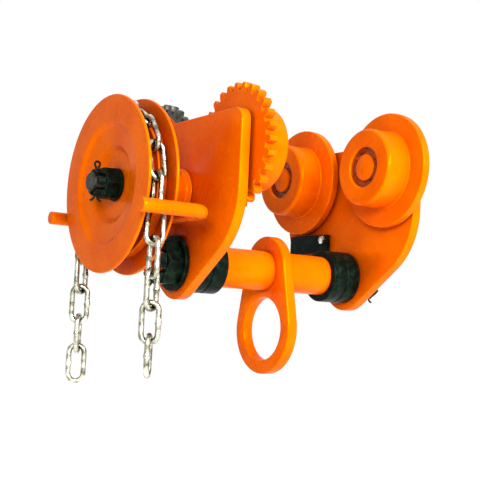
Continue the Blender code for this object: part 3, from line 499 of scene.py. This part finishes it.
for side, name in ((-1, "drive"), (1, "idler")):
    low, high = sorted((side * (OUTSIDE + SEAT), side * (OUTSIDE + SEAT + WASHER)))
    node = "load_washer_" + name
    black_ring(node, low, high, NUT_BORE_R, RING_R, SHAFT_Z, "trolley", chamfer=0.6 * MM)
    for number in (1, 2):
        face = HALF_GAP - SEAT - (number - 1) * (SPACER + SEAT)
        low, high = sorted((side * face, side * (face - SPACER)))
        node = "load_spacer_" + name + "_" + str(number)
        black_ring(node, low, high, SHAFT_HOLE_R, RING_R, SHAFT_Z, "trolley", chamfer=0.9 * MM)


# ---- Castle nuts ----
# Forged and turned steel hexagon nuts with a slotted crown, blackened like the spacers. One is
# screwed on each end of the load shaft; the hand chain wheel's smaller one is made the same way.


def castle_nut(node, start, outward, flats, hexagon, crown, bore, z, body):
    """The six corners (c cos t, c sin t), with c = flats / sqrt 3, drawn out along X and met with
    the nut's turned outline, then slotted three times across and bored."""
    top, corner = hexagon + crown, flats / math.sqrt(3)
    t = np.linspace(0, math.tau, 6, endpoint=False)
    ends = np.array((start, start + outward * top))[:, None]
    sides = np.broadcast_arrays(ends, corner * np.cos(t), z + corner * np.sin(t))
    nut = surface("nut", np.stack(sides, -1))
    outline = [
        (-0.1 * MM, 0),
        (-0.1 * MM, flats * 0.505),
        (flats * 0.045, corner * 1.01),
        (hexagon - flats * 0.045, corner * 1.01),
        (hexagon, flats * 0.497),
        (hexagon + 0.6 * MM, flats * 0.462),
        (top - 0.9 * MM, flats * 0.455),
        (top, flats * 0.42),
        (top, 0),
    ]
    shell = turned("shell", np.array(outline) * (outward, 1) + (start, 0), (0, z), 96)
    worked(nut, [shell], "INTERSECT")
    tools = [drill((0, z), bore, *sorted((start, start + outward * top)), 0.5 * MM, 72)]
    u = np.array((-1.5, 1.5, 1.5, -1.5)) * flats
    v = np.array((-2.3, -2.3, 2.3, 2.3)) * MM
    ends = start + outward * np.array((hexagon, top + crown))[:, None]
    for turn in np.radians((90, 150, 210)):
        cosine, sine = math.cos(turn), math.sin(turn)
        sides = np.broadcast_arrays(ends, u * cosine - v * sine, z + u * sine + v * cosine)
        tools.append(surface("slot", np.stack(sides, -1)))
    worked(nut, tools)
    modifier = nut.modifiers.new("edges", "BEVEL")
    modifier.width = 0.35 * MM
    modifier.segments = 2
    modifier.limit_method = "ANGLE"
    modifier.angle_limit = math.radians(38)
    dress(settled(nut), node, body, BLACK)


for side, name in ((-1, "drive"), (1, "idler")):
    node = "load_nut_" + name
    castle_nut(
        node,
        side * NUT_X,
        side,
        flats=36 * MM,
        hexagon=13 * MM,
        crown=6 * MM,
        bore=NUT_BORE_R,
        z=SHAFT_Z,
        body="trolley",
    )


# ---- Split pins ----
# Half-round steel wire folded to an eye, pushed down through the nut's slots and the shaft, and
# dark with oil. The two tails are bent apart below. One locks each castle nut.


def bar(name, path, radius, sides, ring, normal):
    """A round bar along a flat path c(v), in a plane with normal n. With b the path's direction
    crossed with n, and m = b crossed with the direction, p(v, t) = c + r_v (b cos t + m sin t)."""
    path = np.array(path, float)
    along = np.roll(path, -1, 0) - np.roll(path, 1, 0) if ring else np.gradient(path, axis=0)
    along /= np.linalg.norm(along, axis=1, keepdims=True)
    side = np.cross(along, np.array(normal, float))
    side /= np.linalg.norm(side, axis=1, keepdims=True)
    rise = np.cross(side, along)
    t = np.linspace(0, math.tau, sides, endpoint=False)[None, :, None]
    round_line = side[:, None] * np.cos(t) + rise[:, None] * np.sin(t)
    radius = np.broadcast_to(np.array(radius, float), len(path))[:, None, None]
    return surface(name, path[:, None] + round_line * radius, ring=ring)


def split_pin(node, x, z, reach, body):
    """One leg with its bent tail, a circle for the eye, and the leg mirrored, as one bent bar."""
    tail = np.array(((-4.6, -2.9), (-3.0, -2.3), (-1.9, -1.0), (-1.25, 0.6), (-1.05, 2.6))) * MM
    leg = np.stack((np.full(6, -1.05 * MM), np.linspace(4 * MM - reach, reach, 6)), 1)
    half = np.concatenate((tail - (0, reach), leg))
    t = np.radians(np.linspace(210, -30, 14))
    eye = 2.2 * MM * np.stack((np.cos(t), 1.2 + np.sin(t)), 1) + (0, reach)
    line = np.concatenate((half, eye, half[::-1] * (-1, 1))) + (x, z)
    path = np.stack((line[:, 0], np.zeros(len(line)), line[:, 1]), 1)
    dress(bar("pin", path, 0.9 * MM, 16, False, (0, 1, 0)), node, body, BLACK)


for side, name in ((-1, "drive"), (1, "idler")):
    node = "load_split_pin_" + name
    split_pin(node, side * (NUT_X + 16 * MM), SHAFT_Z, reach=18 * MM, body="trolley")


# ---- Suspension plate ----
# A 10 mm steel plate eye that swings on the load shaft and takes a hoist's hook in its round hole.
# It is profile cut and enamelled, and its edges are well rounded where the hook bears.

EYE_Z = SHAFT_Z - 50.8 * MM
EYE_HALF = 5.0 * MM
EYE_R, HOOK_HOLE_R, EYE_EASE = 39.8 * MM, 27.5 * MM, 1.4 * MM
circles = [(0.0, SHAFT_Z + 1.8 * MM, 29.0 * MM), (0.0, EYE_Z, EYE_R)]
eye_plate = profile_cut("eye", circles, -EYE_HALF, EYE_HALF, EYE_EASE)
holes = [
    drill((0, SHAFT_Z), SHAFT_HOLE_R, -EYE_HALF, EYE_HALF, 0.5 * MM),
    drill((0, EYE_Z), HOOK_HOLE_R, -EYE_HALF, EYE_HALF, EYE_EASE, steps=192),
]
dress(worked(eye_plate, holes), "suspension_plate", "eye_plate", ENAMEL)


# ---- Drive shaft, bush and housing ----
# The pinion and its shaft are one piece of machined steel, which turns in a bronze bush.
# The housing is thick steel tube, welded to the drive plate with a fillet all round and enamelled.

WHEEL_X = -OUTSIDE - 56.0 * MM
WHEEL_HALF = 13.5 * MM
SHEET = 2.6 * MM
DISH_FLOOR = WHEEL_HALF - SEAT / 2 - SHEET
SHOULDER = WHEEL_X + WHEEL_HALF - DISH_FLOOR + SEAT
HUB = WHEEL_X - WHEEL_HALF + DISH_FLOOR - SEAT
HUB_WASHER = 2.5 * MM
HUB_BORE_R = 8.3 * MM
HUB_NUT = HUB - HUB_WASHER - SEAT
DRIVE_END = HUB_NUT - 21.5 * MM
HOUSING_END = -OUTSIDE - SEAT - 32.0 * MM
HOUSING_R, HOUSING_BORE_R = 18.0 * MM, 13.4 * MM
BUSH_R, BUSH_BORE_R = 13.1 * MM, 10.3 * MM
JOURNAL_R, DRIVE_THREAD_R = 10.0 * MM, 8.0 * MM


def turned_metal(name, dark, light):
    """Bare turned metal under a film of oil. The eye meets tool rings across X, drawn 0.4 mm apart
    where the real feed is about 0.2 mm, and stains 7 mm across."""
    material, tree, shader, place = begin(name, Metallic=1.0)
    stain = add(tree, "TexNoise", {"Vector": place, "Scale": 1 / (7 * MM), "Detail": 3})
    stain = add(tree, "ValToRGB", {0: stain}, [(0.34, dark), (0.66, light)])
    tree.links.new(stain.outputs[0], shader.inputs["Base Color"])
    oil = add(tree, "TexNoise", {"Vector": place, "Scale": 1 / (3 * MM)})
    oil = add(tree, "MapRange", {0: oil, 1: 0.3, 2: 0.7, 3: 0.28, 4: 0.46})
    tree.links.new(oil.outputs[0], shader.inputs["Roughness"])
    across = add(tree, "Mapping", {"Vector": place, "Scale": (1.0, 0.04, 0.04)})
    rings = add(tree, "TexNoise", {"Vector": across, "Scale": 1 / (0.4 * MM)})
    rings = add(tree, "Bump", {"Height": rings, "Distance": 0.05 * MM, "Strength": 0.25})
    tree.links.new(rings.outputs[0], shader.inputs["Normal"])
    return material


rings = [
    (-HALF_GAP + 10.5 * MM, 0, 0),
    (-HALF_GAP + 10.5 * MM, 12.0 * MM, 0),
    (-HALF_GAP + 11.5 * MM, -0.9 * MM, 1),
    (-HALF_GAP + 10.9 * MM, 0, 1),
    (-HALF_GAP + 2.6 * MM, 0, 1),
    (-HALF_GAP + 2.0 * MM, -0.9 * MM, 1),
    (-HALF_GAP + 2.0 * MM, JOURNAL_R, 0),
    (SHOULDER, JOURNAL_R, 0),
    (SHOULDER, DRIVE_THREAD_R, 0),
    (DRIVE_END + 1.2 * MM, DRIVE_THREAD_R, 0),
    (DRIVE_END, 6.8 * MM, 0),
    (DRIVE_END, 0, 0),
]
line = gear_line(PINION_TEETH, addendum=3.0 * MM, dedendum=2.8 * MM, first=pinion_tooth)
drive_shaft = geared("drive_shaft", line, rings, (0, DRIVE_Z))
OILED_STEEL = turned_metal("oiled_machined_steel", "191b19", "464842")
dress(drive_shaft, "drive_shaft_pinion", "hand_wheel", OILED_STEEL)

corners = [
    (-HALF_GAP, HOUSING_BORE_R),
    (-HALF_GAP, 15.4 * MM),
    (-OUTSIDE - SEAT, 15.4 * MM),
    (-OUTSIDE - SEAT, 21.0 * MM),
    (-OUTSIDE - 1.0 * MM, 20.6 * MM),
    (-OUTSIDE - 2.6 * MM, 18.8 * MM),
    (-OUTSIDE - 4.0 * MM, HOUSING_R),
    (HOUSING_END, HOUSING_R),
    (HOUSING_END, HOUSING_BORE_R),
]
housing = turned("housing", eased(corners, [0, 0, 0, 0.3, 0.6, 0.9, 0.8, 1.2, 0.6]), (0, DRIVE_Z))
dress(housing, "drive_shaft_housing", "trolley", ENAMEL)

corners = [
    (-HALF_GAP, BUSH_BORE_R),
    (-HALF_GAP, BUSH_R),
    (HOUSING_END - 0.6 * MM, BUSH_R),
    (HOUSING_END - 0.6 * MM, BUSH_BORE_R),
]
bush = turned("bush", eased(corners, [0.4] * 4), (0, DRIVE_Z), 96)
BRONZE = turned_metal("turned_bush_bronze", "7d5d2e", "b98f52")
dress(bush, "drive_shaft_bush", "trolley", BRONZE)


# ---- Hand chain wheel ----
# Two discs pressed from 2.6 mm steel sheet, dished towards each other on both sides of a grooved
# ring. All are enamelled, and a castle nut clamps them on the shaft. The slot takes every second
# link upright.

dish = np.array(((0, 72.5), (0, 50.0), (3.0, 47.0), (5.0, 32.75), (10.75, 27.0), (10.75, 8.3))) * MM
dish_eases = [1.3, 2.0, 2.2, 2.6, 2.2, 0.3]
pressed = eased(np.concatenate((dish, dish[::-1] + (SHEET, 0))), dish_eases + dish_eases[::-1], 9)

for node, face, inward in (
    ("chain_wheel_outer_disc", WHEEL_X - WHEEL_HALF, 1),
    ("chain_wheel_inner_disc", WHEEL_X + WHEEL_HALF, -1),
):
    disc = turned("disc", pressed * (inward, 1) + (face, 0), (0, DRIVE_Z), 240)
    dress(disc, node, "hand_wheel", ENAMEL)

SEAT_R = 62.0 * MM
PITCH = 25.0 * MM
WIRE = 4.4 * MM
WIDTH = 17.2 * MM
CHORD_R = math.sqrt(SEAT_R**2 - (PITCH / 2) ** 2)
shelf = CHORD_R - WIRE / 2 - 0.4 * MM
slot_floor = CHORD_R - WIDTH / 2 - 0.4 * MM
ring_half, slot_half = WHEEL_HALF - SHEET - SEAT, WIRE / 2 + 0.6 * MM
side = [
    (5.5 * MM, slot_floor - 5.0 * MM),
    (5.5 * MM, 50.5 * MM),
    (ring_half, 50.5 * MM),
    (ring_half, shelf),
    (slot_half, shelf),
    (slot_half, slot_floor),
]
around = np.concatenate((side, np.array(side[::-1]) * (-1, 1)))
eases = [0, 0, 0, 0.5, 1.0, 1.0]
line = eased(around, eases + eases[::-1]) + (WHEEL_X, 0)
groove = turned("groove", line, (0, DRIVE_Z), 240)
dress(groove, "chain_wheel_groove_ring", "hand_wheel", ENAMEL)

node = "chain_wheel_washer"
HUB_RING_R = 13.5 * MM
black_ring(
    node, HUB - HUB_WASHER, HUB, HUB_BORE_R, HUB_RING_R, DRIVE_Z, "hand_wheel", chamfer=0.4 * MM
)
node = "chain_wheel_nut"
castle_nut(
    node,
    HUB_NUT,
    -1,
    flats=24 * MM,
    hexagon=12 * MM,
    crown=6.5 * MM,
    bore=HUB_BORE_R,
    z=DRIVE_Z,
    body="hand_wheel",
)
node = "chain_wheel_split_pin"
split_pin(node, HUB_NUT - 15.25 * MM, DRIVE_Z, reach=12 * MM, body="hand_wheel")


# ---- Chain guide ----
# An 11 mm round steel bar bent to a U, welded under the housing and enamelled with the plate.
# Its legs pass outside the two strands and keep them on the wheel; the sawn ends are just broken.

GUIDE_R = 5.5 * MM
GUIDE_Z = DRIVE_Z - HOUSING_R - SEAT - GUIDE_R
GUIDE_Y = SEAT_R + WIDTH / 2 + 4.5 * MM + GUIDE_R
GUIDE_BACK = WHEEL_X + WHEEL_HALF + 15.0 * MM + GUIDE_R
GUIDE_END = WHEEL_X - WHEEL_HALF - 10.0 * MM
BEND = 12.0 * MM
leg_x = GUIDE_END + np.array((0, 0.03, 0.2, 0.6, 4, 12, 20, 28, 36, 43)) * MM
leg = np.stack((leg_x, np.full(10, -GUIDE_Y)), 1)
t = np.linspace(-math.pi / 2, 0, 18)
bent = np.stack((np.cos(t), np.sin(t)), 1) * BEND + (GUIDE_BACK - BEND, BEND - GUIDE_Y)
across = np.stack((np.full(6, GUIDE_BACK), np.linspace(BEND + 8 * MM - GUIDE_Y, -6 * MM, 6)), 1)
half = np.concatenate((leg, bent, across))
flat = np.concatenate((half, half[::-1] * (1, -1)))
path = np.column_stack((flat, np.full(len(flat), GUIDE_Z)))
thickness = np.full(len(path), GUIDE_R)
thickness[:4] = np.array((4.7, 5.0, 5.3, 5.5)) * MM
thickness = np.minimum(thickness, thickness[::-1])
guide = bar("guide", path, thickness, 36, False, (0, 0, 1))
dress(guide, "chain_guide", "trolley", ENAMEL)


# ---- Hand chain ----
# Short links of 4.4 mm steel wire at 25 mm pitch, bent, welded on one leg and bright zinc-plated.
# It climbs the near side, lies over the wheel and hangs down the far side, both strands a little
# twisted.

# Bright zinc plate. The eye meets a pale grey-green metal, clouded every 5 mm, clean on open faces
# and darkened to olive-black where links shelter each other, partly dirt and partly painted shade.
# Its grain is drawn 0.9 mm wide so that it shows.
ZINC, tree, shader, place = begin("bright_zinc_plate", Metallic=1.0)
film = add(tree, "TexNoise", {"Vector": place, "Scale": 1 / (5 * MM), "Detail": 3})
film = add(tree, "ValToRGB", {0: film}, [(0.34, "6c6c58"), (0.52, "a8a898"), (0.68, "dcdcd2")])
# Partly dirt, partly painted shade: occlusion within 6 mm darkens the zinc between close links.
shelter = add(tree, "AmbientOcclusion", {"Distance": 6 * MM}, samples=6).outputs["AO"]
dirt_and_shade = add(tree, "MapRange", {0: shelter, 1: 0.30, 2: 0.95, 3: 1.0, 4: 0.0})
film = add(tree, "Mix", {0: dirt_and_shade, 6: film, 7: colour("33351e")}, data_type="RGBA").outputs[2]
tree.links.new(film, shader.inputs["Base Color"])
cloud = add(tree, "TexNoise", {"Vector": place, "Scale": 1 / (2 * MM)})
cloud = add(tree, "MapRange", {0: cloud, 1: 0.3, 2: 0.7, 3: 0.22, 4: 0.40})
tree.links.new(cloud.outputs[0], shader.inputs["Roughness"])
grain = add(tree, "TexNoise", {"Vector": place, "Scale": 1 / (0.9 * MM)})
grain = add(tree, "Bump", {"Height": grain, "Distance": 0.05 * MM, "Strength": 0.25})
tree.links.new(grain.outputs[0], shader.inputs["Normal"])

BOW = (WIDTH - WIRE) / 2
STRAIGHT = (PITCH + 0.8 * MM + WIRE) / 2 - BOW


def chain_link(node, body, y, z, lean, turn):
    """An oval of wire: half circles of radius bow round (0, +-straight), joined by legs at +-bow.
    On one leg the weld thickens it by a quarter of exp(-(s / 1.6 mm)^2). The link is turned about
    Z, then leaned about X."""
    t = np.linspace(0, math.pi, 24)
    crown = np.stack((BOW * np.cos(t), STRAIGHT + BOW * np.sin(t)), 1)
    s = np.linspace(STRAIGHT, -STRAIGHT, 17)[1:-1]
    leg = np.stack((np.full(15, -BOW), s), 1)
    line = np.concatenate((crown, leg, -crown, -leg))
    weld = np.concatenate((np.zeros(24), 0.25 * np.exp(-((s / (1.6 * MM)) ** 2)), np.zeros(39)))
    path = np.stack((line[:, 0], np.zeros(len(line)), line[:, 1]), 1)
    link = bar("link", path, WIRE / 2 * (1 + weld), 20, True, (0, 1, 0))
    place = Matrix.Translation((WHEEL_X, y, z)) @ Matrix.Rotation(lean, 4, "X")
    link.data.transform(place @ Matrix.Rotation(turn, 4, "Z"))
    dress(link, node, body, ZINC)


def way(distance):
    """The point (y, z) at a distance along the chain: up at y = -R, half round the wheel, and down
    at y = R."""
    if distance < 0:
        return np.array((-SEAT_R, DRIVE_Z + distance))
    if distance > math.pi * SEAT_R:
        return np.array((SEAT_R, DRIVE_Z + math.pi * SEAT_R - distance))
    angle = distance / SEAT_R
    return np.array((-SEAT_R * math.cos(angle), DRIVE_Z + SEAT_R * math.sin(angle)))


HANG = 22.5 * MM
joint, number = -HANG, 0
while joint < math.pi * SEAT_R:
    low, high = joint + PITCH, joint + 1.5 * PITCH
    for _ in range(50):
        middle = (low + high) / 2
        short = np.linalg.norm(way(middle) - way(joint)) < PITCH
        low, high = (middle, high) if short else (low, middle)
    centre, along = (way(joint) + way(low)) / 2, way(low) - way(joint)
    number += 1
    lean = math.atan2(-along[0], along[1])
    node = "wheel_chain_link_" + str(number)
    chain_link(node, "trolley", *centre, lean, math.pi / 2 * (number % 2))
    joint = low

for name, y, top, twists in (
    ("near", -SEAT_R, DRIVE_Z - HANG, (116, 64, 64, 64, 90)),
    ("far", SEAT_R, way(joint)[1], (90, 75, 75, 64, 90, 90)),
):
    for count in range(1, len(twists) + 1):
        turn = math.radians(90 - sum(twists[:count]))
        free = name == "near" or count > 1
        body = name + "_link_" + str(count) if free else "trolley"
        node = name + "_chain_link_" + str(count)
        chain_link(node, body, y, top - PITCH * (count - 0.5), 0, turn)


# ---- Shaft keeper ----
# A flat blackened steel bar on the inner face of the idler plate, under the far wheel's flange.
# A small zinc-plated hexagon bolt with a domed head holds it at its near end.

KEEPER_Y = (22.5 * MM, 79.0 * MM)
KEEPER_Z = (SHAFT_Z + RING_R + SEAT, AXLE_Z - FLANGE_R - 1.6 * MM)
KEEPER_X = (HALF_GAP - SEAT - 5.0 * MM, HALF_GAP - SEAT)
corner = 1.2 * MM
circles = [
    (y, z, corner)
    for y in (KEEPER_Y[0] + corner, KEEPER_Y[1] - corner)
    for z in (KEEPER_Z[0] + corner, KEEPER_Z[1] - corner)
]
keeper = profile_cut("keeper", circles, *KEEPER_X, 0.6 * MM)
dress(keeper, "shaft_keeper", "trolley", BLACK)

# The head's radius is 4.4 cos 30 / cos(a - 30) mm at angle a past a corner, drawn in over a dome.
angle = np.radians(np.arange(0, 360, 6.0))
hexagon = 4.4 * MM * math.cos(math.pi / 6) / np.cos(angle % (math.pi / 3) - math.pi / 6)
t = np.linspace(0, math.pi / 2, 8)
drawn_in = np.concatenate(((0.0, 1.0), np.cos(t)))[:, None]
x = KEEPER_X[0] - SEAT - np.concatenate(((0.0, 0.0), 2.3 + 1.2 * np.sin(t)))[:, None] * MM
y = KEEPER_Y[0] + 4.5 * MM + drawn_in * hexagon * np.cos(angle)
z = KEEPER_Z[1] - 5.0 * MM + drawn_in * hexagon * np.sin(angle)
bolt = surface("bolt", np.stack((np.broadcast_to(x, y.shape), y, z), -1))
dress(bolt, "keeper_bolt", "trolley", ZINC)


# ---- Floor and studio ----
# A wide pale painted floor well below the trolley, and a white studio round it. The camera and
# shiny pieces see both as white, while they light the trolley only softly. The floor's glow is
# strong enough to clip, so the trolley's shadow does not show on it.


def seen(tree):
    """1 for rays from the camera, a mirror or through glass, and 0 for those that light a piece."""
    rays = add(tree, "LightPath").outputs
    either = {0: rays["Is Camera Ray"], 1: rays["Is Glossy Ray"]}
    either = {0: add(tree, "Math", either, operation="MAXIMUM"), 1: rays["Is Transmission Ray"]}
    return add(tree, "Math", either, operation="MAXIMUM")


FLOOR_REACH, FLOOR_POINTS, FLOOR_Z, FLOOR_GLOW = 8.0, 17, -0.45, 0.88
line = np.linspace(-FLOOR_REACH, FLOOR_REACH, FLOOR_POINTS)
x, y = np.meshgrid(line, line)
corners = np.stack((x, y, np.full(x.shape, FLOOR_Z)), -1)
index = np.arange(x.size).reshape(x.shape)
tiles = np.stack((index[:-1, :-1], index[:-1, 1:], index[1:, 1:], index[1:, :-1]), -1)
mesh = bpy.data.meshes.new("floor")
mesh.from_pydata(corners.reshape(-1, 3).tolist(), [], tiles.reshape(-1, 4).tolist())
floor = bpy.data.objects.new("floor", mesh)
bpy.context.scene.collection.objects.link(floor)
PAINT, tree, shader, place = begin("pale_floor_paint", Roughness=0.8, Emission_Color=(1, 1, 1, 1))
paint = add(tree, "TexNoise", {"Vector": place, "Scale": 1 / (600 * MM)})
paint = add(tree, "ValToRGB", {0: paint}, [(0.3, "f0f0ee"), (0.7, "f8f8f7")])
tree.links.new(paint.outputs[0], shader.inputs["Base Color"])
glow = add(tree, "Math", {0: seen(tree), 1: FLOOR_GLOW}, operation="MULTIPLY")
tree.links.new(glow.outputs[0], shader.inputs["Emission Strength"])
mesh.materials.append(PAINT)

studio = bpy.data.worlds.new("studio")
bpy.context.scene.world = studio
studio.use_nodes = True
tree = studio.node_tree
tree.nodes.clear()
soft = add(tree, "Background", {"Color": colour("fffcfa"), "Strength": 0.12})
white = add(tree, "Background", {"Color": (1, 1, 1, 1), "Strength": 1.0})
both = add(tree, "MixShader", {0: seen(tree), 1: soft, 2: white})
add(tree, "OutputWorld", {"Surface": both})


# ---- Lights ----
# Soft boxes: a key in front of the near wheels and above them, a weaker one before the chain
# wheel, whose dish it shades, and a little light from above.


def soft_box(name, place, size, power, tint):
    """A square soft box that faces the trolley."""
    data = bpy.data.lights.new(name, "AREA")
    data.size = size
    data.energy = power
    data.color = colour(tint)[:3]
    lamp = bpy.data.objects.new(name, data)
    lamp.location = place
    lamp.rotation_euler = (-Vector(place)).to_track_quat("-Z", "Y").to_euler()
    bpy.context.scene.collection.objects.link(lamp)


soft_box("key", (0.00, -1.45, 0.50), size=0.6, power=46, tint="fffbf4")
soft_box("fill", (-1.00, -1.15, 0.30), size=0.40, power=16, tint="fffdfa")
soft_box("top", (0.10, 0.25, 1.20), size=1.0, power=3, tint="ffffff")


# ---- Camera ----
# The camera fitted to the photograph: on the hand chain's side, a little below the trolley, and
# rolled a few degrees. Its lens and shift come from the frame of 480 by 480 pixels.

AZIMUTH, ELEVATION, ROLL = np.radians((-34.07, -4.62, 2.74)).tolist()
DISTANCE, ACROSS, DOWN = 0.94172, 0.02573, 0.03789
FOCAL, CENTRE_X, CENTRE_Y, FRAME = 1055.02, 242.68, 246.55, 480
level = Vector((math.cos(AZIMUTH), math.sin(AZIMUTH), 0))
back = Vector((math.sin(AZIMUTH), -math.cos(AZIMUTH), 0)) * math.cos(ELEVATION)
back.z = math.sin(ELEVATION)
upright = back.cross(level)
right = math.cos(ROLL) * level + math.sin(ROLL) * upright
up = math.cos(ROLL) * upright - math.sin(ROLL) * level
lens = bpy.data.cameras.new("camera")
lens.sensor_width = 36
lens.lens = FOCAL / FRAME * lens.sensor_width
lens.shift_x = (FRAME / 2 - CENTRE_X) / FRAME
lens.shift_y = (CENTRE_Y - FRAME / 2) / FRAME
camera = bpy.data.objects.new("camera", lens)
turn = Matrix((right, up, back)).transposed().to_4x4()
camera.matrix_world = Matrix.Translation(DISTANCE * back - ACROSS * right - DOWN * up) @ turn
bpy.context.scene.collection.objects.link(camera)
bpy.context.scene.camera = camera
bpy.context.scene.view_settings.view_transform = "Standard"
